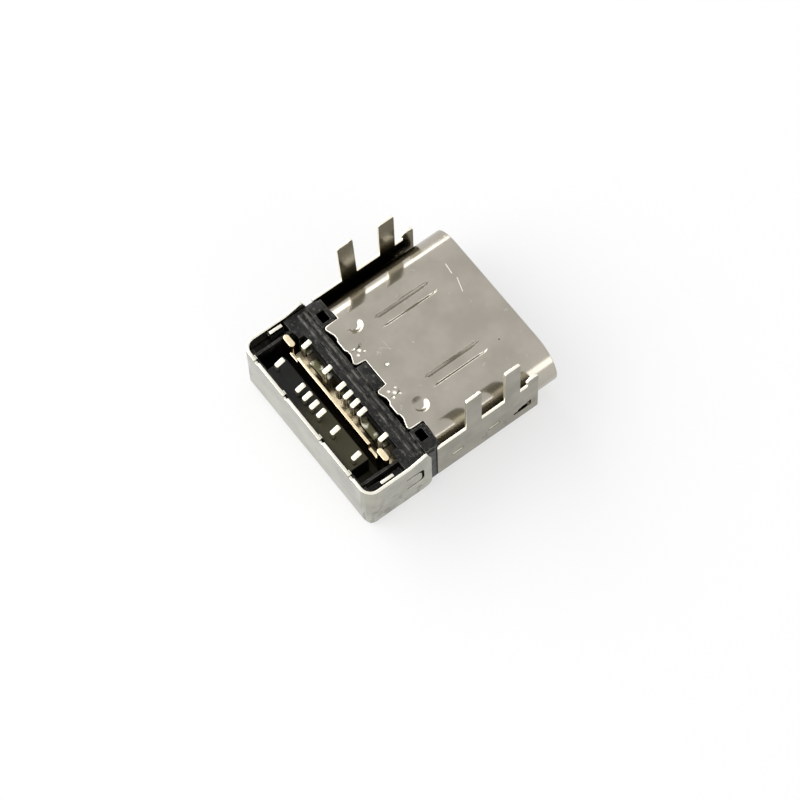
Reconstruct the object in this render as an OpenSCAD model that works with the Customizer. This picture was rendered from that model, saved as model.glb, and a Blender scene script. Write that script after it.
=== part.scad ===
// Fourteen-contact USB-C receptacle, lying on its cover with the board side up.
// The mouth faces -Y, the solder tails and board legs point to +Z.
// Every piece is drawn with y counted from the mouth plane and z from the
// underside of the rear cover, and placed() then centres the length on the origin.

/* [Mouth] */
// Width of the opening that takes the plug
mouth_width = 8.34; // [8.2:0.02:8.5]
// Height of the opening that takes the plug
mouth_height = 2.56; // [2.46:0.02:2.7]
// Depth from the mouth plane to the face of the housing
mouth_depth = 6.2; // [5.9:0.05:6.25]

/* [Inner shell] */
// Sheet thickness of the inner shell
shell_sheet = 0.15; // [0.12:0.01:0.18]
// Length of the shell's closed tube
tube_length = 6.28; // [6.26:0.02:6.4]
// Length of the scalloped flap on the board side
flap_length = 6.97; // [6.8:0.01:7.0]
// Width of the scalloped flap
flap_width = 6.1; // [5.8:0.1:6.3]
// Width of the notch in the middle of the flap
notch_width = 1.44; // [1.2:0.02:1.6]
// Depth of the notch in the middle of the flap
notch_depth = 0.45; // [0.3:0.05:0.5]
// How far the stamping nibs stand past the flap
nib_length = 0.06; // [0.04:0.01:0.08]
// Distance of the pressed ribs from the middle
rib_offset = 1.79; // [1.6:0.05:2.0]
// Distance of the ribs' deep end from the mouth plane
rib_front = 2.18; // [1.8:0.05:2.4]
// Length of the pressed ribs
rib_length = 2.85; // [2.2:0.05:3.0]
// Width of the pressed ribs
rib_width = 0.46; // [0.36:0.02:0.56]
// Depth of a pressed rib at its deep end
rib_depth = 0.13; // [0.08:0.01:0.16]
// Distance of the pressed dimples from the middle
dimple_offset = 2.37; // [2.2:0.02:2.5]
// Distance of the dimples' centres from the mouth plane
dimple_y = 5.92; // [5.6:0.02:6.0]
// Diameter of the pressed dimples
dimple_width = 0.82; // [0.6:0.02:0.9]
// Distance of the spot marks from the middle
spot_offset = 1.256; // [1.1:0.02:1.4]
// Distance of the spot marks from the mouth plane
spot_y = 6.48; // [6.3:0.02:6.6]
// Depth of a spot mark
spot_depth = 0.04; // [0.02:0.01:0.06]

/* [Outer shell] */
// Sheet thickness of the outer shell
wrap_sheet = 0.15; // [0.12:0.01:0.18]
// Play between the shells' walls, all of it on the side that faces +X
wrap_play = 0.12; // [0.06:0.02:0.12]
// Distance of the outer shell's front edge from the mouth plane
wrap_front = 1.16; // [0.9:0.02:1.3]
// Distance of the outer shell's rear edge from the mouth plane
wrap_rear = 6.58; // [6.4:0.02:6.6]
// Height of the side walls' top edge above the cover's underside
wall_top = 2.98; // [2.8:0.02:3.1]
// Outer radius of the bends along the bottom
bend_radius = 0.42; // [0.36:0.02:0.5]
// Height of the board legs' tips above the cover's underside
leg_top = 5.66; // [5.2:0.02:6.2]
// Height of the short front legs' tips
stub_top = 3.5; // [3.3:0.02:3.8]
// Distance of the rear legs' centres from the mouth plane
rear_leg_y = 4.62; // [4.4:0.01:4.8]
// Distance of the middle legs' centres from the mouth plane
middle_leg_y = 2.56; // [2.5:0.01:2.8]
// Width of the long board legs
leg_width = 0.82; // [0.7:0.02:0.9]
// Width of the short front legs
stub_width = 0.56; // [0.5:0.02:0.6]

/* [Rear cover] */
// Sheet thickness of the rear cover
cover_sheet = 0.15; // [0.12:0.01:0.18]
// Width over the rear cover's side walls
cover_width = 9.18; // [9.08:0.02:9.4]
// Length of the whole receptacle, from mouth to rear cover
total_length = 10.35; // [10.25:0.05:10.7]
// Height of the rear cover's walls
cover_height = 3.15; // [3.0:0.05:3.3]
// Distance of the side walls' front edge from the mouth plane
cover_front = 6.98; // [6.9:0.02:7.1]
// Outer radius of the rear cover's upright corners
corner_radius = 0.6; // [0.5:0.05:0.8]
// How far the cover's floor laps under the outer shell
lap_length = 1.6; // [1.4:0.1:2]
// Height of the lug at the front end of each side wall
lug_height = 0.25; // [0.15:0.05:0.35]
// Length of the retaining tongue cut in each side wall
tongue_cut_length = 0.9; // [0.7:0.05:1.0]
// Width of the saw cut round a retaining tongue
cut_width = 0.12; // [0.08:0.01:0.14]

/* [Contacts] */
// Spacing of the contact positions
contact_pitch = 0.5; // [0.48:0.01:0.52]
// Width of a contact
contact_width = 0.25; // [0.2:0.01:0.3]
// Thickness of a contact
contact_sheet = 0.14; // [0.1:0.01:0.16]
// Distance of the contacts' tips behind the tongue's tip
contact_setback = 0.35; // [0.25:0.05:0.6]
// Distance of the front row of tails from the mouth plane
front_tail_y = 8.14; // [8.1:0.01:8.2]
// Distance of the rear row of tails from the mouth plane
rear_tail_y = 9.555; // [9.5:0.01:9.6]
// Height of the middle of the tails above the cover's underside
tail_top = 3.47; // [3.4:0.01:3.6]
// Length of a tail's foot
foot_length = 0.5; // [0.4:0.02:0.56]
// How far a foot rises towards the mouth
foot_rise = 0.19; // [0.1:0.01:0.25]
// Width of the lead on the power contacts of the front row
power_lead_width = 1.2; // [0.9:0.05:1.3]

/* [Tongue] */
// Thickness of the tongue
tongue_thickness = 0.7; // [0.66:0.01:0.74]
// Thickness of the tongue's root
root_thickness = 1.04; // [0.98:0.02:1.1]
// Width of the tongue
tongue_width = 6.69; // [6.6:0.01:6.75]
// Distance of the tongue's tip from the mouth plane
tongue_front = 1.75; // [1.6:0.05:1.9]
// Distance of the tongue's root from the mouth plane
root_front = 5.0; // [4.8:0.05:5.2]
// Thickness of the mid plate in the tongue
mid_sheet = 0.15; // [0.12:0.01:0.2]
// Thickness of the ground plates
ground_sheet = 0.1; // [0.08:0.01:0.12]

/* [Rear window] */
// Half width of the window in the housing
window_half = 3.76; // [3.72:0.02:3.8]
// Distance from the middle to the ends of the comb behind the rear tails
comb_half = 3.0; // [2.95:0.01:3.02]
// Distance of the mid plate's upright wall from the mouth plane
mid_wall_y = 8.75; // [8.7:0.01:8.8]
// Height of the mid plate's upright wall above the cover's underside
mid_wall_top = 3.16; // [3.0:0.02:3.3]
// Width of the mid plate's upright wall
mid_wall_width = 5.12; // [5.0:0.02:5.2]
// Distance of the mid plate's legs from the middle
mid_leg_offset = 3.37; // [3.3:0.01:3.4]
// Width of the mid plate's legs
mid_leg_width = 0.68; // [0.6:0.02:0.7]
// Height of the mid plate's legs above the cover's underside
mid_leg_top = 3.36; // [3.2:0.02:3.5]

/* [Hidden] */

A_PINS = [1, 4, 5, 6, 7, 9, 12];
B_PINS = [1, 4, 5, 6, 7, 9, 12];

ROUND = 32;      // segments of a small round
LARGE_ROUND = 64;
CUT = 0.5;       // how far a cutter runs past what it cuts

// Heights of the stack of sheets, from the cover's floor upwards
wrap_floor = cover_sheet;
shell_floor = wrap_floor + wrap_sheet;
mouth_floor = shell_floor + shell_sheet;
mouth_axis = mouth_floor + mouth_height / 2;
mouth_roof = mouth_floor + mouth_height;
shell_top = mouth_roof + shell_sheet;

// Half widths
shell_half = mouth_width / 2 + shell_sheet;
wrap_left = shell_half + wrap_sheet;
wrap_right = wrap_left + wrap_play;
cover_half = cover_width / 2;
block_half = cover_half - cover_sheet;

// The housing's levels
block_top = mouth_roof;
block_rear = total_length - cover_sheet;
block_chamfer = bend_radius;
fit_gap = 0.02;
window_rear = block_rear - 0.1;
pad_rise = 0.1;

// Places along the length that several pieces share
window_front = front_tail_y - foot_length / 2 - 0.03;
front_riser = front_tail_y + foot_length / 2 - contact_sheet / 2;
rear_riser = rear_tail_y + foot_length / 2 - contact_sheet / 2;
comb_front = mid_wall_y + mid_sheet / 2 + 0.3;
comb_top = block_top - 0.1;
insert_half = tongue_width / 2;
insert_floor = mouth_axis - root_thickness / 2 - 0.3;
insert_roof = mouth_axis + root_thickness / 2 + 0.5;
lead_floor = insert_roof - 0.3;
lead_step = mouth_depth + 0.8;
insert_rear = window_front + 0.08;

// ---- Shared helpers ----

// Centres the length of the receptacle on the origin
module placed() translate([0, -total_length / 2, 0]) children();

// Extrudes an outline drawn in X and Z along Y, from y0 to y1
module along_y(y0, y1) translate([0, y1, 0]) rotate([90, 0, 0]) linear_extrude(y1 - y0) children();

// Extrudes an outline drawn in Y and Z along X, from x0 to x1
module along_x(x0, x1) translate([x0, 0, 0]) rotate([90, 0, 90]) linear_extrude(x1 - x0) children();

// Extrudes an outline drawn in X and Y along Z, from z0 to z1
module along_z(z0, z1) translate([0, 0, z0]) linear_extrude(z1 - z0) children();

// A box given by its low and high corners
module block(low, high) translate(low) cube(high - low);

// The same piece on both sides of the middle
module both_sides() {
    children();
    mirror([1, 0, 0]) children();
}

// Points of a quarter round: centre, radius and the angle where it starts
function quarter(c, r, start, turn = 90, steps = 6) =
    [for (i = [0 : steps]) c + r * [cos(start + turn * i / steps), sin(start + turn * i / steps)]];

// An outline with fully round ends, as the mouth has
module stadium(w, h) {
    square([w - h, h], center = true);
    for (s = [-1, 1]) translate([s * (w - h) / 2, 0]) circle(d = h, $fn = LARGE_ROUND);
}

// A channel section with round lower corners, open at the top, drawn in X and Z
module channel(left, right, floor, top, r) {
    polygon(concat([[right, top], [-left, top]],
        quarter([-left + r, floor + r], r, 180),
        quarter([right - r, floor + r], r, 270)));
}

// ---- Inner shell: drawn tube with a scalloped flap, pressed ribs and dimples ----

// Plan of a pressed rib or dimple, deep end towards the mouth
module pressed_plan(w, l) {
    translate([0, w / 2]) circle(d = w, $fn = ROUND);
    if (l > w) {
        translate([-w / 2, w / 2]) square([w, l - w]);
        translate([0, l - w / 2]) circle(d = w, $fn = ROUND);
    }
}

// Wedge that ramps from nothing at the rear to full depth at the mouth end
module pressed(w, l, depth, top) intersection() {
    along_z(top - depth - CUT, top + CUT) pressed_plan(w, l);
    along_x(-w, w) polygon([[-CUT, top + CUT], [-CUT, top - depth], [0, top - depth], [l, top], [l + CUT, top + CUT]]);
}

// Puts a pressed form at each of its places on the board side
module at_pressed_places() {
    for (s = [-1, 1]) {
        translate([s * rib_offset, rib_front, 0]) children(0);
        translate([s * dimple_offset, dimple_y - dimple_width / 2, 0]) children(1);
    }
}

// Half of the flap's rear edge, with nibs where the strip was cut
module flap_half() {
    edge = flap_length - 0.08;
    nib = flap_length + nib_length;
    r = 0.16;
    inner = notch_width / 2;
    outer = flap_width / 2;
    third = (outer - inner) / 3;
    polygon(concat(
        [[0, 0], [0, flap_length - notch_depth], [inner, flap_length - notch_depth]],
        quarter([inner + 0.04 + r, nib - r], r, 180, -90),
        [[inner + 0.7 * third, edge], [inner + third, edge],
         [inner + 1.15 * third, flap_length], [inner + 1.85 * third, flap_length],
         [inner + 2 * third, edge], [inner + 2.25 * third, edge]],
        quarter([outer - r, nib - r], r, 90, -90),
        [[outer, tube_length], [outer, 0]]));
}

module spot_marks() {
    for (x = [-spot_offset, spot_offset], d = [[0, 0], [1, 1], [-1, 1], [1, -1], [-1, -1]])
        translate([x + d[0] * 0.17, spot_y + d[1] * 0.17, shell_top - spot_depth])
            cylinder(d = d[0] == 0 ? 0.14 : 0.09, h = CUT, $fn = 16);
    translate([0, dimple_y, shell_top - spot_depth]) cylinder(d = 0.18, h = CUT, $fn = 16);
}

module inner_shell() color([0.70, 0.69, 0.65]) placed() {
    difference() {
        union() {
            intersection() {
                translate([0, 0, mouth_axis]) along_y(0, flap_length + nib_length) difference() {
                    stadium(2 * shell_half, mouth_height + 2 * shell_sheet);
                    stadium(mouth_width, mouth_height);
                }
                union() {
                    block([-wrap_right, 0, 0], [wrap_right, tube_length, shell_top + CUT]);
                    along_z(mouth_axis, shell_top + CUT) both_sides() flap_half();
                }
            }
            at_pressed_places() {
                pressed_backing(rib_width, rib_length, rib_depth);
                pressed_backing(dimple_width, dimple_width, rib_depth);
            }
        }
        at_pressed_places() {
            pressed(rib_width, rib_length, rib_depth, shell_top);
            pressed(dimple_width, dimple_width, rib_depth, shell_top);
        }
        spot_marks();
    }
}

// Metal that a pressed form pushes through on the mouth side
module pressed_backing(w, l, depth) {
    wall = 0.08;
    intersection() {
        translate([0, -wall, 0]) pressed(w + 2 * wall, l + 2 * wall, depth, shell_top - shell_sheet);
        block([-w, -w, mouth_axis], [w, l + w, shell_top - shell_sheet / 2]);
    }
}

// ---- Outer shell: folded channel with two walls and three board legs a side ----

// A board leg with round tip corners, drawn in Y and Z
module leg_outline(y, w, top, r) {
    low = wall_top - bend_radius;
    polygon(concat([[y - w / 2, low], [y + w / 2, low]],
        quarter([y + w / 2 - r, top - r], r, 0), quarter([y - w / 2 + r, top - r], r, 90)));
}

// Outline of a side wall with its legs, drawn in Y and Z
module wall_outline() {
    r = 0.12;
    stub_y = wrap_front + stub_width / 2;
    hook_y = wrap_front + stub_width;
    difference() {
        union() {
            polygon(concat([[wrap_rear, 0]],
                quarter([wrap_rear - r, wall_top - r], r, 0), [[wrap_front, wall_top]],
                quarter([wrap_front + bend_radius, wrap_floor + bend_radius], bend_radius, 180),
                [[wrap_front + bend_radius, 0]]));
            leg_outline(rear_leg_y, leg_width, leg_top - r / 2, r);
            translate([rear_leg_y - leg_width / 2 + r, leg_top - r]) circle(r = r, $fn = ROUND);
            leg_outline(middle_leg_y, leg_width, leg_top, r);
            leg_outline(stub_y, stub_width, stub_top, stub_width / 3);
            translate([hook_y - 0.05, stub_top - 0.22]) circle(r = r, $fn = ROUND);
        }
        stepped_window(middle_leg_y - 0.06);
    }
}

// Stepped window above the bend, drawn in Y and Z from its rear end
module stepped_window(y) {
    low = wrap_floor + bend_radius + 0.45;
    step = 0.24;
    for (i = [1 : 4]) translate([y - i * step, low]) square([step * 0.9, 0.1 + 0.1 * i]);
    translate([y - 4 * step, low]) square([3.5 * step, 0.14]);
}

// Shallow dents rolled into the side walls, each a groove with round ends
module wall_dents(half) {
    for (y = [3.54, 5.5]) translate([half + 0.05, y + 0.22, 1.45]) rotate([90, 0, 0]) {
        cylinder(r = 0.12, h = 0.44, $fn = ROUND);
        sphere(r = 0.12, $fn = ROUND);
        translate([0, 0, 0.44]) sphere(r = 0.12, $fn = ROUND);
    }
}

module outer_shell() color([0.66, 0.65, 0.61]) placed() difference() {
    intersection() {
        along_y(wrap_front, wrap_rear) difference() {
            channel(wrap_left, wrap_right, wrap_floor, leg_top, bend_radius);
            channel(wrap_left - wrap_sheet, wrap_right - wrap_sheet, shell_floor, leg_top + CUT,
                bend_radius - wrap_sheet);
        }
        along_x(-wrap_left, wrap_right) wall_outline();
    }
    wall_dents(wrap_right);
    mirror([1, 0, 0]) wall_dents(wrap_left);
}

// ---- Rear cover: drawn box, open to the board and to the mouth ----

// The box form that the cover's outside and inside share, grown by an offset
module cover_form(inset, top) intersection() {
    along_z(0, top) cover_plan(inset);
    along_y(0, total_length) channel(cover_half - inset, cover_half - inset, inset, top, bend_radius - inset);
    along_x(-cover_half, cover_half) polygon(concat(
        [[0, top], [0, inset]], quarter([total_length - bend_radius, bend_radius], bend_radius - inset, 270),
        [[total_length - inset, top]]));
}

module cover_plan(inset) {
    half = cover_half - inset;
    rear = total_length - inset;
    r = corner_radius - inset;
    polygon(concat([[half, 0]], quarter([half - r, rear - r], r, 0), quarter([-half + r, rear - r], r, 90),
        [[-half, 0]]));
}

// Outline of a side wall's free edges, drawn in Y and Z
module cover_side() {
    polygon(concat(
        [[total_length + CUT, -CUT], [total_length + CUT, cover_height], [cover_front + 1.1, cover_height],
         [cover_front + 0.5, cover_height + 0.7 * lug_height], [cover_front + 0.32, cover_height + lug_height],
         [cover_front + 0.18, cover_height + lug_height], [cover_front, cover_height - 0.2]],
        quarter([cover_front + bend_radius, bend_radius + 0.3], bend_radius, 180),
        [[cover_front + bend_radius, -CUT]]));
}

// Slot round a retaining tongue, drawn in Y and Z
module tongue_cut() {
    low = 1.34;
    high = 2.3;
    difference() {
        translate([cover_front + 0.4, low]) tongue_plan(tongue_cut_length, high - low);
        translate([cover_front + 0.4 + cut_width, low + cut_width])
            tongue_plan(tongue_cut_length, high - low - 2 * cut_width);
    }
}

module tongue_plan(l, h) {
    r = min(0.2, h / 3);
    polygon(concat([[l, 0], [l, h]], quarter([r, h - r], r, 90), quarter([r, r], r, 180)));
}

// Nib and notch left where the blank was cut from its strip
module strip_scar(x) {
    translate([x - 0.22, block_rear - CUT, cover_height - 0.14]) cube([0.2, 2 * CUT, CUT]);
}

module strip_nib(x) {
    block([x, block_rear - 0.07, block_top + fit_gap], [x + 0.24, block_rear + cover_sheet / 2, cover_height - 0.04]);
}

// Spring tab that stands inside a side wall
module inner_tab(y) {
    gap = 0.08;
    thick = 0.16;
    block([block_half - gap - thick, y - 0.33, 2.5], [block_half - gap, y + 0.33, cover_height - 0.05]);
    block([block_half - gap - thick, y - 0.33, 2.5], [block_half + cover_sheet / 2, y + 0.33, 2.66]);
}

module rear_cover() color([0.64, 0.63, 0.59]) placed() {
    scars = [3.6, 1.5, -1.1, -3.2];
    difference() {
        intersection() {
            cover_form(0, cover_height + lug_height);
            union() {
                along_x(-cover_half, cover_half) cover_side();
                lap_front = wrap_rear - lap_length;
                lap_half = wrap_left - bend_radius;
                block([-lap_half, lap_front, 0], [lap_half, total_length, cover_sheet]);
            }
        }
        cover_form(cover_sheet, cover_height + lug_height + CUT);
        block([-cover_half, total_length - corner_radius, cover_height], [cover_half, total_length + CUT, leg_top]);
        both_sides() along_x(block_half - CUT, cover_half + CUT) tongue_cut();
        for (x = scars) strip_scar(x);
    }
    for (x = scars) strip_nib(x);
    inner_tab(8.7);
    mirror([1, 0, 0]) inner_tab(9.1);
}

// ---- Housing: black moulding that the shells and the cover close round ----

module housing_body() {
    // spigot that plugs the rear of the tube
    translate([0, 0, mouth_axis]) along_y(mouth_depth, tube_length) stadium(mouth_width, mouth_height);
    // block between the outer shell's walls
    along_y(tube_length, wrap_rear) chamfered(shell_half, shell_floor);
    // block that fills the cover
    intersection() {
        block([-cover_half, wrap_rear, 0], [cover_half, total_length, block_top]);
        cover_form(cover_sheet + fit_gap, block_top);
    }
}

// Section of a block with cut lower corners, drawn in X and Z
module chamfered(half, floor) {
    c = block_chamfer;
    polygon([[-half, block_top], [-half, floor + c], [-half + c, floor], [half - c, floor], [half, floor + c],
        [half, block_top]]);
}

// Room for the underside of the flap and its dimples
module flap_seat() {
    half = flap_width / 2 + fit_gap;
    along_y(tube_length, flap_length + nib_length + fit_gap) difference() {
        translate([-half, mouth_axis]) square([2 * half, mouth_height]);
        translate([0, mouth_axis]) stadium(mouth_width, mouth_height);
    }
    for (s = [-1, 1]) translate([s * dimple_offset, dimple_y, mouth_roof - 1.6 * rib_depth])
        cylinder(d = dimple_width + 0.3, h = CUT, $fn = ROUND);
}

// Pads that fill the notches of the flap, and the ridges behind it
module housing_top() {
    pad_half = notch_width / 2 - 0.04;
    block([-pad_half, flap_length - notch_depth + 0.04, block_top],
        [pad_half, flap_length + 0.1, block_top + pad_rise]);
    both_sides() shoulder_pad();
    for (y = [7.1, 7.4])
        along_x(-block_half + 0.2, block_half - 0.2)
            polygon([[y, block_top], [y + 0.05, block_top + 0.09], [y + 0.13, block_top + 0.09],
                [y + 0.18, block_top]]);
}

// Pad beside the flap, with a round front corner
module shoulder_pad() {
    inner = flap_width / 2 + 0.06;
    outer = block_half - 0.12;
    front = tube_length + 0.04;
    r = 0.3;
    along_z(block_top, block_top + pad_rise) polygon(concat(
        quarter([inner + 0.1, front + 0.1], 0.1, 180), quarter([outer - r, front + r], r, 270),
        [[outer, flap_length + 0.12], [inner, flap_length + 0.12]]));
}

// Recess between the side of the window and the cover, for the cover's spring tab
module side_recess() {
    wall = 0.13;
    block([window_half + wall, window_front + 0.35, 2.4], [block_half + CUT, block_rear - 0.25, leg_top]);
    block([window_half + wall, block_rear - 0.26, 2.75], [block_half + CUT, block_rear + CUT, leg_top]);
}

module housing() color([0.06, 0.06, 0.06]) placed() difference() {
    union() {
        difference() {
            housing_body();
            flap_seat();
        }
        housing_top();
    }
    // channel that takes the two inserts
    block([-insert_half, mouth_depth - CUT, insert_floor], [insert_half, block_rear + CUT, insert_roof]);
    // window over the tails, stepped back at its front corners
    block([-window_half, window_front + 0.3, insert_floor], [window_half, window_rear, leg_top]);
    block([-insert_half, window_front, insert_floor], [insert_half, window_rear, leg_top]);
    // dark pockets beside the flap
    both_sides() {
        block([flap_width / 2 + 0.2, flap_length - 0.45, 2.2], [flap_width / 2 + 0.75, flap_length - 0.05, leg_top]);
        side_recess();
    }
}

// ---- Contacts ----

// Centre of a numbered position; the two rows count from opposite sides
function a_x(k) = (6.5 - k) * contact_pitch;
function b_x(k) = (k - 6.5) * contact_pitch;

// Foot that leans up towards the mouth from the top of a riser, drawn in Y and Z
module foot_outline(riser, run_z) {
    r = contact_sheet / 2;
    lean = atan2(foot_rise, foot_length);
    bend_z = tail_top - foot_rise / 2 - r;
    translate([riser, bend_z]) {
        circle(r = r, $fn = ROUND);
        rotate(-lean) translate([-foot_length + 2 * r, -r]) square([foot_length - 2 * r, 2 * r]);
        rotate(-lean) translate([-foot_length + 2 * r, 0]) circle(r = r, $fn = ROUND);
    }
    translate([riser - r, run_z]) square([2 * r, bend_z - run_z]);
}

// Upper contact: runs back along the board side of the tongue, steps up, leaves the
// insert as a lead in the window and then turns up to its foot
module upper_contact(x, side) {
    run = mouth_axis + tongue_thickness / 2 - contact_sheet;
    tip = tongue_front + contact_setback;
    translate([x, 0, 0]) {
        along_x(-contact_width / 2, contact_width / 2) {
            translate([tip, run]) square([lead_step - tip, contact_sheet]);
            translate([lead_step - contact_sheet, run]) square([contact_sheet, lead_floor + contact_sheet - run]);
            translate([lead_step - contact_sheet, lead_floor])
                square([front_riser + contact_sheet - lead_step, contact_sheet]);
            foot_outline(front_riser, lead_floor);
        }
        if (side != 0) {
            low = side > 0 ? -contact_width / 2 : contact_width / 2 - power_lead_width;
            block([low, insert_rear + 0.02, lead_floor],
                [low + power_lead_width, front_riser + contact_sheet / 2, lead_floor + contact_sheet]);
        }
    }
}

// Lower contact: runs back along the far side of the tongue, then up behind the mid plate
module lower_contact(x) {
    run = mouth_axis - tongue_thickness / 2;
    tip = tongue_front + contact_setback;
    translate([x, 0, 0]) along_x(-contact_width / 2, contact_width / 2) {
        translate([tip, run]) square([rear_riser - tip, contact_sheet]);
        foot_outline(rear_riser, run);
    }
}

// Power positions of the front row have a lead that spreads outwards
function power_side(k) = k == 4 ? -1 : k == 9 ? 1 : 0;

module contact_a(k) color([0.86, 0.84, 0.76]) placed() lower_contact(a_x(k));
module contact_b(k) color([0.86, 0.84, 0.76]) placed() upper_contact(b_x(k), power_side(k));

// ---- Inserts: the two halves of the tongue, each moulded round a row of contacts ----

// Side section of the upper insert, drawn in Y and Z
module upper_insert_outline() {
    face = mouth_axis + tongue_thickness / 2;
    root = mouth_axis + root_thickness / 2;
    polygon([[tongue_front + 0.2, mouth_axis + mid_sheet / 2], [tongue_front + 0.2, face],
        [root_front, face], [root_front + 0.15, root], [mouth_depth, root], [mouth_depth, insert_roof],
        [insert_rear, insert_roof], [insert_rear, mouth_axis + mid_sheet / 2]]);
}

// Side section of the lower insert, drawn in Y and Z
module lower_insert_outline() {
    face = mouth_axis - tongue_thickness / 2;
    root = mouth_axis - root_thickness / 2;
    polygon([[tongue_front, mouth_axis - mid_sheet / 2], [tongue_front + 0.15, face],
        [root_front, face], [root_front + 0.15, root], [mouth_depth, root], [mouth_depth, insert_floor],
        [block_rear, insert_floor], [block_rear, insert_roof], [window_rear, insert_roof],
        [window_rear, comb_top], [comb_front, comb_top],
        [comb_front, mouth_axis - mid_sheet / 2]]);
}

module upper_insert() color([0.09, 0.09, 0.08]) placed() difference() {
    along_x(-insert_half, insert_half) upper_insert_outline();
    for (k = B_PINS) upper_contact(b_x(k), power_side(k));
}

module lower_insert() color([0.10, 0.10, 0.09]) placed() difference() {
    intersection() {
        along_x(-insert_half, insert_half) lower_insert_outline();
        union() {
            block([-insert_half, 0, 0], [insert_half, total_length, mouth_axis]);
            block([-comb_half, 0, 0], [comb_half, total_length, leg_top]);
        }
    }
    for (k = A_PINS) lower_contact(a_x(k));
}

// ---- Mid plate: stiffens the tongue, then folds up between the rows of tails ----

module mid_plate() color([0.93, 0.86, 0.68]) placed() {
    low = mouth_axis - mid_sheet / 2;
    high = mouth_axis + mid_sheet / 2;
    wall_front = mid_wall_y - mid_sheet / 2;
    wall_rear = mid_wall_y + mid_sheet / 2;
    leg_y = mid_wall_y - 0.12;
    block([-insert_half, tongue_front + 0.1, low], [insert_half, wall_rear, high]);
    block([-mid_wall_width / 2, wall_front, low], [mid_wall_width / 2, wall_rear, mid_wall_top]);
    both_sides() {
        inner = mid_leg_offset - mid_leg_width / 2;
        outer = mid_leg_offset + mid_leg_width / 2;
        block([mid_wall_width / 2 - 0.1, wall_front, low], [inner + 0.1, wall_rear, mid_wall_top - 0.4]);
        along_z(low, mid_leg_top) translate([mid_leg_offset, leg_y]) stadium(outer - inner, 0.28);
    }
}

// ---- Ground plates: bent sheets on the tongue's root that meet the plug's springs ----

module ground_outline() {
    root = root_thickness / 2;
    polygon([[root_front + 0.2, root], [mouth_depth, root], [mouth_depth, mouth_height / 2 - 0.1],
        [mouth_depth - ground_sheet, mouth_height / 2 - 0.1], [mouth_depth - ground_sheet, root + ground_sheet],
        [root_front + 0.2, root + ground_sheet]]);
}

module ground_plate() {
    half = insert_half - 0.15;
    difference() {
        translate([0, 0, mouth_axis]) along_x(-half, half) ground_outline();
        block([-0.5, 0, 0], [0.5, mouth_depth - 2 * ground_sheet, shell_top]);
    }
}

module upper_ground_plate() color([0.75, 0.74, 0.70]) placed() ground_plate();

module lower_ground_plate() color([0.75, 0.74, 0.70]) placed()
    translate([0, 0, 2 * mouth_axis]) mirror([0, 0, 1]) ground_plate();

// ---- Assembly ----

inner_shell();
outer_shell();
rear_cover();
housing();
upper_insert();
lower_insert();
mid_plate();
upper_ground_plate();
lower_ground_plate();
for (k = A_PINS) contact_a(k);
for (k = B_PINS) contact_b(k);
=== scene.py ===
from math import cos, hypot, pi, radians, sin, tan

import bmesh
import bpy
from mathutils import Matrix, Vector


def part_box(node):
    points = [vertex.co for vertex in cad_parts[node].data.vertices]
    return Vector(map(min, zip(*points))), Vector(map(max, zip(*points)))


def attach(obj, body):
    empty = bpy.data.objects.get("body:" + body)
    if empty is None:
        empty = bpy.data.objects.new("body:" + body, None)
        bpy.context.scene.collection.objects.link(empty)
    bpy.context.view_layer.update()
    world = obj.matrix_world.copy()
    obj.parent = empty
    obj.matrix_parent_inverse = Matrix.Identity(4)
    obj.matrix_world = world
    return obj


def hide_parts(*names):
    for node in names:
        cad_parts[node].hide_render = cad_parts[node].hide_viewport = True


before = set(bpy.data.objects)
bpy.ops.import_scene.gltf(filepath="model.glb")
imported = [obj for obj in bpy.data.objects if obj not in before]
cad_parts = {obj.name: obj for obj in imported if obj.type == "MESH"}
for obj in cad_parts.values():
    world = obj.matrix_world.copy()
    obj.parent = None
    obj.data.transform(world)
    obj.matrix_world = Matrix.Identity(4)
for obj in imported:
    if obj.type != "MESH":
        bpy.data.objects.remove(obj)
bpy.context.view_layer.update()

# ---- Mid plate ----
# The steel plate between the two rows of contacts. It is blanked from strip, gold flashed, and turned up
# at the back into a low wall with a soldering leg at each end. Everything else is moulded or slid round it.

mm = 0.001


class Wire:
    """A socket of a finish. Arithmetic between wires and numbers adds the Math nodes."""

    def __init__(self, tree, socket=None):
        self.tree = tree
        self.socket = socket

    def node(self, kind, result=0, sockets=None, **settings):
        """Adds a node, with its settings first and then the values or links of its sockets."""
        made = self.tree.nodes.new("ShaderNode" + kind)
        for name, value in settings.items():
            setattr(made, name, value)
        for name, value in (sockets or {}).items():
            if isinstance(value, Wire):
                self.tree.links.new(value.socket, made.inputs[name])
            else:
                made.inputs[name].default_value = value
        return None if result is None else Wire(self.tree, made.outputs[result])

    def maths(self, operation, *terms):
        return self.node("Math", sockets=dict(enumerate(terms)), operation=operation)

    def __add__(self, other):
        return self.maths("ADD", self, other)

    def __sub__(self, other):
        return self.maths("SUBTRACT", self, other)

    def __rsub__(self, other):
        return self.maths("SUBTRACT", other, self)

    def __mul__(self, other):
        return self.maths("MULTIPLY", self, other)

    def __abs__(self):
        return self.maths("ABSOLUTE", self)

    __radd__ = __add__
    __rmul__ = __mul__


def paint(red, green, blue):
    """A colour on the 0 to 255 scale of a paint card, as light."""
    return tuple((part / 255) ** 2.2 for part in (red, green, blue)) + (1.0,)


def blend(under, over, mask):
    """Lays one colour over another where the mask is 1."""
    return mask.node("Mix", 2, {0: mask, 6: under, 7: over}, data_type="RGBA")


def rise(value, low, high):
    """0 up to low, 1 from high on, and smooth between. A low above high falls instead."""
    sockets = {"Value": value, "From Min": low, "From Max": high}
    return value.node("MapRange", 0, sockets, interpolation_type="SMOOTHSTEP")


def axes(vector):
    """The three parts of a vector."""
    return [vector.node("SeparateXYZ", part, {0: vector}) for part in range(3)]


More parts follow.
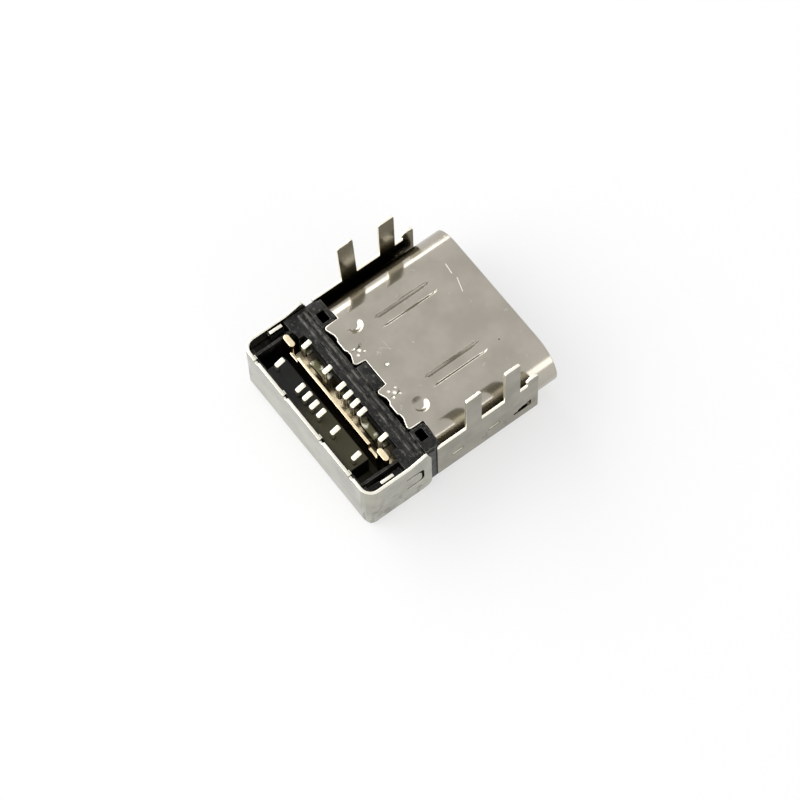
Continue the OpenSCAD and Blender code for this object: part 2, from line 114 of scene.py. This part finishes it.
def grain(place, scale, detail=3.0, stretch=(1.0, 1.0, 1.0)):
    """Cloudy noise from 0 to 1, with so many lumps to the millimetre."""
    stretched = place.node("Mapping", 0, {"Vector": place, "Scale": stretch})
    return place.node("TexNoise", 0, {"Vector": stretched, "Scale": scale, "Detail": detail})


def surface(name, build, **fixed):
    """A finish. build gives its sockets from the place in millimetres and the facing of the surface."""
    made = bpy.data.materials.new(name)
    made.use_nodes = True
    made.node_tree.nodes.clear()
    blank = Wire(made.node_tree)
    place = blank.node("TexCoord", "Object")
    place = blank.node("VectorMath", 0, {0: place, "Scale": 1 / mm}, operation="SCALE")
    facing = blank.node("TexCoord", "Normal")
    sockets = build(place, facing)
    sockets.update({socket.replace("_", " "): value for socket, value in fixed.items()})
    shader = blank.node("BsdfPrincipled", 0, sockets)
    blank.node("OutputMaterial", None, {"Surface": shader})
    return made


def relief(place, height, depth):
    """The normal of a surface whose height goes from 0 to 1 over a depth in millimetres."""
    return place.node("Bump", 0, {"Height": height, "Strength": 1.0, "Distance": depth * mm})


def dressed(node, finish, edge=0.02, shape=None):
    """A copy of a CAD node with merged corners, rounded edges and a finish. It stands for the node."""
    form = bmesh.new()
    form.from_mesh(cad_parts[node].data)
    bmesh.ops.remove_doubles(form, verts=form.verts, dist=1e-4 * mm)
    bmesh.ops.dissolve_limit(form, angle_limit=radians(1), verts=form.verts, edges=form.edges)
    if shape:
        shape(form)
    sharp = [e for e in form.edges if len(e.link_faces) == 2 and e.calc_face_angle() > radians(35)]
    bmesh.ops.bevel(form, geom=sharp, offset=edge * mm, segments=2, profile=0.5, affect="EDGES",
                    material=-1, clamp_overlap=False)
    for face in form.faces:
        face.smooth = True
    mesh = bpy.data.meshes.new(node + "_dressed")
    form.to_mesh(mesh)
    form.free()
    piece = bpy.data.objects.new(node + "_dressed", mesh)
    bpy.context.scene.collection.objects.link(piece)
    piece.data.materials.append(finish)
    even = piece.modifiers.new("even_faces", "WEIGHTED_NORMAL")
    even.weight = 100
    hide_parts(node)
    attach(piece, "root")
    return piece


def flashed_plate(place, facing):
    """Thin gold over steel: a cream painted highlight on the sheared top edge, brown painted shade down the
    sides, dull where handled.
    """
    cloud = grain(place, 2.5)
    # Painted light: faces that look up are made cream as a highlight, and the sides brown as shade.
    lit_top = rise(axes(facing)[2], 0.5, 0.9)
    side = blend(paint(74, 50, 26), paint(120, 88, 50), cloud)
    lit_crest = blend(paint(238, 214, 168), paint(255, 243, 214), grain(place, 6))
    return {
        "Base Color": blend(side, lit_crest, lit_top),
        "Roughness": 0.16 + 0.12 * cloud,
        "Normal": relief(place, grain(place, 14), 0.004),
    }


plate_gold = surface("flashed_plate", flashed_plate, Metallic=1.0)
dressed("mid_plate", plate_gold, edge=0.03)

# ---- Contacts ----
# Fourteen stamped and formed copper alloy springs. Their beams on the tongue are gold plated for the plug,
# and their feet at the back are tinned for solder. Each row is moulded into its own half of the tongue.

tinned_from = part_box("housing")[1].y / mm - 2.6


def plated_contact(place, facing):
    """Gold on the mating end, and pale tin with a slightly uneven, rounded skin on the feet, darkened in
    patches lower down as painted shade.
    """
    y, z = axes(place)[1:]
    tin = blend(paint(226, 220, 198), paint(250, 247, 232), grain(place, 5))
    # Painted shade: below z 2.7, down in the housing, the tin is darkened in patches.
    tin = blend(tin, paint(96, 94, 72), rise(z, 3.25, 2.7) * rise(grain(place, 3), 0.3, 0.5))
    gold = blend(paint(214, 172, 96), paint(240, 204, 128), grain(place, 4))
    return {
        "Base Color": blend(gold, tin, rise(y, tinned_from - 0.1, tinned_from)),
        "Roughness": 0.25 + 0.2 * grain(place, 3),
        "Normal": relief(place, grain(place, 9), 0.005),
    }


contact_plating = surface("plated_contact", plated_contact, Metallic=1.0)
for row in "ab":
    for number in (1, 4, 5, 6, 7, 9, 12):
        dressed(f"contact_{row}{number}", contact_plating, edge=0.06)

# ---- Tongue inserts ----
# The two halves of the tongue, moulded in black liquid crystal polymer round the contacts. They carry the
# leads to the back, where the near half of the ledge between the rows has an olive painted reflection.


def insert_moulding(place, facing):
    """Dull black resin, with an olive painted reflection on the near half of the ledges that face up at the
    back.
    """
    x, y = axes(place)[:2]
    cloud = grain(place, 3)
    up = rise(axes(facing)[2], 0.6, 0.9)
    # Painted reflection: the upward faces of the rear ledge turn olive on the near half.
    painted_reflection = up * rise(x, 1.2, -0.4) * rise(y, 3.2, 3.6) * (0.7 + 0.3 * cloud)
    return {
        "Base Color": blend(paint(16, 16, 14), paint(66, 64, 46), painted_reflection),
        "Roughness": 0.42 + 0.2 * cloud,
        "Normal": relief(place, grain(place, 22, 5), 0.006),
    }


insert_resin = surface("insert_moulding", insert_moulding, Specular_IOR_Level=0.25)
for half in ("upper_insert", "lower_insert"):
    dressed(half, insert_resin, edge=0.02)

# ---- Ground plates ----
# Two thin spring steel plates, one over each face of the tongue root, with a lip that the plug's shield
# touches first. They are hooked into slots in the tongue, and are bright and hardly worn.


def spring_steel(place, facing):
    """Cold rolled strip, with its rolling lines along the plate."""
    lines = grain(place, 6, 3, stretch=(1, 0.08, 1))
    return {
        "Base Color": blend(paint(168, 166, 160), paint(206, 204, 196), lines),
        "Roughness": 0.22 + 0.15 * lines,
        "Normal": relief(place, lines, 0.002),
    }


ground_strip = surface("spring_steel", spring_steel, Metallic=1.0)
for plate in ("upper_ground_plate", "lower_ground_plate"):
    dressed(plate, ground_strip, edge=0.015)

# ---- Housing ----
# The black moulding that the shells and the cover close round. It plugs the back of the tube, carries both
# halves of the tongue, and is open at the back over the solder feet, with a comb for the rear row.


def housing_moulding(place, facing):
    """Glass filled resin: black, glossy where the mould was polished, and greyer in specks on upward faces
    and on upper edges, partly dust and wear and partly painted highlight.
    """
    cloud = grain(place, 2)
    speck_and_glint = rise(grain(place, 7, 4), 0.58, 0.68)
    up = axes(facing)[2]
    # The grey specks on upward faces and the grey on upper edges are partly dust and wear, partly painted
    # highlight.
    worn_and_lit_edges = rise(up, 0.2, 0.5) * rise(up, 0.98, 0.8) * rise(grain(place, 3, 3), 0.4, 0.6)
    dust_and_sheen = 0.12 * rise(cloud, 0.4, 0.7) + 0.5 * speck_and_glint * rise(up, 0.5, 0.9) + 0.7 * worn_and_lit_edges
    return {
        "Base Color": blend(paint(13, 13, 12), paint(112, 110, 102), dust_and_sheen),
        "Roughness": 0.2 + 0.25 * cloud,
        "Normal": relief(place, 0.7 * grain(place, 4, 2) + 0.3 * grain(place, 20, 3), 0.05),
    }


housing_resin = surface("housing_moulding", housing_moulding, Specular_IOR_Level=0.3)
dressed("housing", housing_resin, edge=0.035)

# ---- Inner shell ----
# The drawn and rolled stainless tube that takes the plug, nickel plated over a satin surface. Two long ribs
# and two dimples are pressed into its roof, and its rear flap is spot welded to the layers below.


def scratch(place, start, end, width):
    """A mask along a straight stroke on the roof, from one point to another in millimetres."""
    x, y = axes(place)[:2]
    length = hypot(end[0] - start[0], end[1] - start[1])
    ux, uy = (end[0] - start[0]) / length, (end[1] - start[1]) / length
    along = (x - start[0]) * ux + (y - start[1]) * uy
    across = abs((y - start[1]) * ux - (x - start[0]) * uy)
    ends = rise(along, -width, width) * rise(along, length + width, length - width)
    return rise(across, width, 0) * ends


def round_dot(across, along, radius):
    """A mask for a round dot, from the distances to its middle both ways in millimetres."""
    return rise(across * across + along * along, radius ** 2, (0.6 * radius) ** 2)


def nickel(name, low, high, wear_and_light):
    """Satin nickel over stainless. The last argument yields more masks, of wear and of painted highlight and
    shade, each with its colour and its roughness.
    """
    def build(place, facing):
        cloud = grain(place, 0.7, 4)
        lines = grain(place, 9, 3, stretch=(1, 0.12, 1))
        colour = blend(low, high, rise(cloud, 0.3, 0.7))
        rough = 0.1 + 0.06 * cloud + 0.05 * lines
        for mask, over, over_rough in wear_and_light(place, facing):
            colour = blend(colour, over, mask)
            rough = rough + mask * (over_rough - rough)
        height = 0.5 * lines + 0.5 * grain(place, 16, 4)
        return {"Base Color": colour, "Roughness": rough, "Normal": relief(place, height, 0.0012)}
    return surface(name, build, Metallic=1.0)


tube_front, tube_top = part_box("inner_shell")[0].y / mm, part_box("inner_shell")[1].z / mm
rib_x, rib_tip, rib_end, rib_half = 1.79, tube_front + 1.92, tube_front + 5.17, 0.34
dimple_x, dimple_y, dimple_radius = 2.37, tube_front + 5.92, 0.46
spot_x, spot_y, spot_spread = 1.256, tube_front + 6.48, 0.17
flap_from = tube_front + 6.405


def tube_wear_and_light(place, facing):
    """Sheared edges on the flap with a painted highlight, painted shade on faces beside the ribs, and the
    fine scuffs and strokes of handling.
    """
    x, y, z = axes(place)
    nx, ny, nz = axes(facing)
    # Painted highlight over the bare sheared edges: the upright faces at the top of the flap are made near
    # white.
    sheared_and_lit = rise(abs(nz), 0.97, 0.88) * rise(z, 3.0, 3.02) * rise(y, flap_from - 0.03, flap_from + 0.03)
    yield sheared_and_lit, paint(255, 251, 238), 0.4
    from_spot_x, from_spot_y = abs(abs(x) - spot_x), abs(y - spot_y)
    corner_dot = round_dot(from_spot_x - spot_spread, from_spot_y - spot_spread, 0.055)
    middle_dot = round_dot(from_spot_x, from_spot_y, 0.075)
    dots = corner_dot + middle_dot + round_dot(x, y - dimple_y, 0.085)
    yield dots, paint(255, 252, 242), 0.5
    scuffs = rise(grain(place, 2.2, 5), 0.66, 0.7) * rise(grain(place, 12, 2), 0.5, 0.6)
    yield 0.35 * scuffs, paint(226, 222, 212), 0.4
    far_stroke = scratch(place, (2.32, -4.17), (1.78, -4.11), 0.035)
    long_stroke = scratch(place, (1.5, -4.17), (0.8, -3.95), 0.03)
    yield far_stroke + long_stroke, paint(255, 250, 236), 0.45
    faint = scratch(place, (0.99, 0.21), (0.43, 0.21), 0.02) + scratch(place, (0.8, 0.5), (0.45, 0.1), 0.02)
    yield 0.45 * faint, paint(225, 220, 208), 0.3
    yield round_dot(x + 1.98, y + 3.79, 0.04), paint(60, 56, 48), 0.5
    # Painted shade: faces beside the ribs that turn towards -X are darkened.
    rib_shade_zone = rise(abs(abs(x) - rib_x), 0.5, 0.2)
    yield 0.8 * rib_shade_zone * rise(nx, -0.25, -0.5) * rise(z, 2.95, 3.0), paint(92, 86, 76), 0.3


def eased(share):
    """0 to 1 with a soft start and a soft stop."""
    share = min(1.0, max(0.0, share))
    return share * share * (3 - 2 * share)


def rib_depth(across, along):
    """A gentle near wall, a steep far wall, a ramp at the tip and a fade at the end."""
    inset = rib_half - hypot(across, min(0.0, along - rib_half))
    wall = 0.17 if across < 0 else 0.07
    return 0.1 * eased(min(inset / wall, along / 0.6)) * eased((rib_end - rib_tip - along) / 0.5)


def dimple_depth(across, along):
    """A shallow bowl with a small flat at the bottom."""
    return 0.15 * eased((dimple_radius - hypot(across, along)) / 0.34)


def within(face, x, y, low, high, floor):
    """Whether a face lies over a rectangle about x, y, with every corner above the floor."""
    slack = 0.01
    for corner in face.verts:
        across, along = corner.co.x / mm - x, corner.co.y / mm - y
        beside = not low[0] - slack < across < high[0] + slack or not low[1] - slack < along < high[1] + slack
        if beside or corner.co.z / mm <= floor:
            return False
    return True


def roof_faces(form, x, y, low, high):
    """The flat faces of the roof that reach into a rectangle about x, y."""
    slack, found = 0.01, []
    for face in form.faces:
        flat = face.normal.z > 0.999 and min(corner.co.z for corner in face.verts) / mm > tube_top - slack
        spans = [[corner.co[axis] / mm for corner in face.verts] for axis in (0, 1)]
        over_x = min(spans[0]) < x + high[0] - slack and max(spans[0]) > x + low[0] + slack
        over_y = min(spans[1]) < y + high[1] - slack and max(spans[1]) > y + low[1] + slack
        if flat and over_x and over_y:
            found.append(face)
    return found


def with_edges(faces):
    """Faces together with their edges and corners."""
    return list({part for face in faces for part in (face, *face.edges, *face.verts)})


def cut_across(form, parts, reach, way):
    """Cuts parts by an upright plane at a reach along X, way 0, or along Y, way 1."""
    return bmesh.ops.bisect_plane(form, geom=parts, dist=1e-9, plane_co=Vector((reach, reach, 0)) * mm,
                                  plane_no=(1 - way, way, 0))["geom"]


def press_roof(form):
    """Cuts a fine net into the roof round each rib and dimple, and presses them with soft walls."""
    rib_low, rib_high = (-0.42, -0.1), (0.42, rib_end - rib_tip + 0.1)
    places = []
    for side in (-1, 1):
        places.append((side * rib_x, rib_tip, rib_low, rib_high, (28, 90), rib_depth))
        places.append((side * dimple_x, dimple_y, (-0.5, -0.5), (0.5, 0.5), (34, 34), dimple_depth))
    for x, y, low, high, cells, depth in places:
        pressed = [face for face in form.faces if within(face, x, y, low, high, tube_top - 0.145)]
        bmesh.ops.delete(form, geom=pressed, context="FACES")
    bmesh.ops.edgeloop_fill(form, edges=[edge for edge in form.edges if edge.is_boundary])
    bmesh.ops.dissolve_limit(form, angle_limit=radians(1), verts=form.verts, edges=form.edges)
    for x, y, low, high, cells, depth in places:
        for reach, way in ((x + low[0], 0), (x + high[0], 0), (y + low[1], 1), (y + high[1], 1)):
            cut_across(form, with_edges(roof_faces(form, x, y, low, high)), reach, way)
        patch = roof_faces(form, x, y, low, high)
        net = with_edges([face for face in patch if within(face, x, y, low, high, tube_top - 0.01)])
        for way in (0, 1):
            for cell in range(1, cells[way]):
                reach = (x, y)[way] + low[way] + (high[way] - low[way]) * cell / cells[way]
                net = cut_across(form, net, reach, way)
        for corner in {part for part in net if isinstance(part, bmesh.types.BMVert)}:
            across, along = corner.co.x / mm - x, corner.co.y / mm - y
            corner.co.z -= max(0.0, depth(across, along)) * mm


tube_nickel = nickel("tube_nickel", paint(168, 162, 151), paint(180, 174, 163), tube_wear_and_light)
dressed("inner_shell", tube_nickel, edge=0.04, shape=press_roof)

# ---- Rear cover ----
# The drawn stainless box that closes the back and the underside. Its sheared rim has a painted highlight,
# spring tabs are lanced from its sides, and the corner that meets the tray is darker in patches lower down.


def cover_wear_and_light(place, facing):
    """A rim with a painted highlight, and sides darker in patches lower down round the corners."""
    x, y, z = axes(place)
    nx, ny, nz = axes(facing)
    # Painted highlight: faces on the rim that look up are made pale.
    lit_rim = rise(nz, 0.5, 0.85) * rise(z, 2.9, 3.0)
    yield lit_rim, paint(240, 236, 222), 0.35
    # Darker in patches lower down on the outer sides.
    low_corner_patches = rise(grain(place, 1.8, 5), 0.52, 0.6) * rise(abs(x), 3.6, 4.3) * rise(z, 2.2, 1.2)
    yield 0.5 * low_corner_patches, paint(120, 116, 104), 0.42


cover_nickel = nickel("cover_nickel", paint(152, 151, 140), paint(176, 174, 163), cover_wear_and_light)
dressed("rear_cover", cover_nickel, edge=0.025)

# ---- Outer shell ----
# The open tray that wraps the tube from below. Its side walls carry four soldering legs and the two grounding
# stubs at the front, all bent up from the same blank, with a stepped window lanced in the near wall.


wall_top, rear_leg_y, leg_reach = 2.98 * mm, tube_front * mm + 4.62 * mm, 0.5 * mm


def lean_rear_leg(form):
    """The far rear leg was knocked outwards a little, from the top of the wall up."""
    lean = tan(radians(4))
    for corner in form.verts:
        on_leg = corner.co.x > 0 and abs(corner.co.y - rear_leg_y) < leg_reach
        if on_leg and corner.co.z > wall_top:
            corner.co.x += (corner.co.z - wall_top) * lean


def tray_wear_and_light(place, facing):
    """Sheared edges on legs and walls with a painted highlight, and darker patches lower down."""
    x, y, z = axes(place)
    nx, ny, nz = axes(facing)
    # Painted highlight: upward faces near the tops and upright edges at the wall top are made near white.
    lit_crests = rise(nz, 0.5, 0.85) * rise(z, 2.5, 2.9)
    sheared_and_lit = lit_crests + rise(abs(ny), 0.6, 0.9) * rise(z, 2.8, 3.0)
    yield sheared_and_lit, paint(252, 247, 232), 0.35
    # Darker in patches lower down the walls.
    low_dark_patches = rise(grain(place, 1.5, 5), 0.55, 0.62) * rise(z, 2.6, 1.5)
    yield 0.4 * low_dark_patches, paint(110, 106, 96), 0.4


tray_nickel = nickel("tray_nickel", paint(134, 130, 117), paint(156, 152, 139), tray_wear_and_light)
dressed("outer_shell", tray_nickel, edge=0.025, shape=lean_rear_leg)

# ---- Bench, light and camera ----
# A plain white bench with soft light all round, brightest near the horizon, and one large soft window low on
# the side of the far legs. The camera looks down on the back of the part.

bench_form = bmesh.new()
bmesh.ops.create_grid(bench_form, x_segments=1, y_segments=1, size=1.0)
bmesh.ops.translate(bench_form, verts=bench_form.verts, vec=(0, 0, -0.01 * mm))
bench_mesh = bpy.data.meshes.new("bench")
bench_form.to_mesh(bench_mesh)
bench_form.free()
bench = bpy.data.objects.new("bench", bench_mesh)
bpy.context.scene.collection.objects.link(bench)


def seen(blank):
    """1 for what the camera sees, straight or in metal or glass."""
    ways = [blank.node("LightPath", f"Is {way} Ray") for way in ("Camera", "Glossy", "Transmission")]
    return blank.maths("MINIMUM", ways[0] + ways[1] + ways[2], 1.0)


bench_white = bpy.data.materials.new("bench_white")
bench_white.use_nodes = True
bench_white.node_tree.nodes.clear()
blank = Wire(bench_white.node_tree)
paper = blank.node("BsdfPrincipled", 0, {"Base Color": (0.95, 0.95, 0.95, 1), "Roughness": 0.9})
glow = blank.node("Emission", 0, {"Color": (1, 1, 1, 1), "Strength": 1.0})
bench_look = blank.node("MixShader", 0, {0: 0.6 * seen(blank), 1: paper, 2: glow})
blank.node("OutputMaterial", None, {"Surface": bench_look})
bench_mesh.materials.append(bench_white)

studio = bpy.data.worlds.new("studio")
studio.use_nodes = True
studio.node_tree.nodes.clear()
bpy.context.scene.world = studio
blank = Wire(studio.node_tree)
height = axes(blank.node("TexCoord", "Generated"))[2]
overhead = rise(height, 0.35, 0.98)
sky = blend((1.0, 1.0, 1.0, 1), (0.94, 0.94, 0.94, 1), overhead)
room = blank.node("Background", 0, {"Color": sky, "Strength": 0.6 + 0.4 * seen(blank)})
blank.node("OutputWorld", None, {"Surface": room})


def soft_lamp(name, azimuth, elevation, distance, size, radiance):
    """A square lamp that faces the part, so bright to look at."""
    lamp = bpy.data.lights.new(name, "AREA")
    lamp.shape = "RECTANGLE"
    lamp.size, lamp.size_y = size
    lamp.energy = radiance * pi * size[0] * size[1]
    holder = bpy.data.objects.new(name, lamp)
    bpy.context.scene.collection.objects.link(holder)
    away = Vector((cos(azimuth) * cos(elevation), sin(azimuth) * cos(elevation), sin(elevation)))
    holder.rotation_euler = away.to_track_quat("Z", "Y").to_euler()
    holder.location = away * distance


soft_lamp("window_light", radians(38), radians(34), 0.35, (0.8, 0.24), 2.8)
soft_lamp("near_light", radians(190), radians(16), 0.35, (0.5, 0.14), 1.5)

azimuth, elevation, roll = radians(235.77), radians(64.79), radians(-2.90)
target, distance = Vector((0.061, 0.111, -1.375)) * mm, 152.335 * mm
back = Vector((sin(azimuth) * cos(elevation), -cos(azimuth) * cos(elevation), sin(elevation)))
level = Vector((cos(azimuth), sin(azimuth), 0))
rightward = level * cos(roll) + back.cross(level) * sin(roll)
upward = back.cross(rightward)
lens = bpy.data.cameras.new("camera")
lens.lens, lens.sensor_width = 155.73, 36.0
lens.clip_start, lens.clip_end = 0.01, 10.0
camera = bpy.data.objects.new("camera", lens)
turned = Matrix((rightward, upward, back)).transposed().to_4x4()
camera.matrix_world = Matrix.Translation(target + back * distance) @ turned
bpy.context.scene.collection.objects.link(camera)
bpy.context.scene.camera = camera
bpy.context.scene.view_settings.view_transform = "Standard"
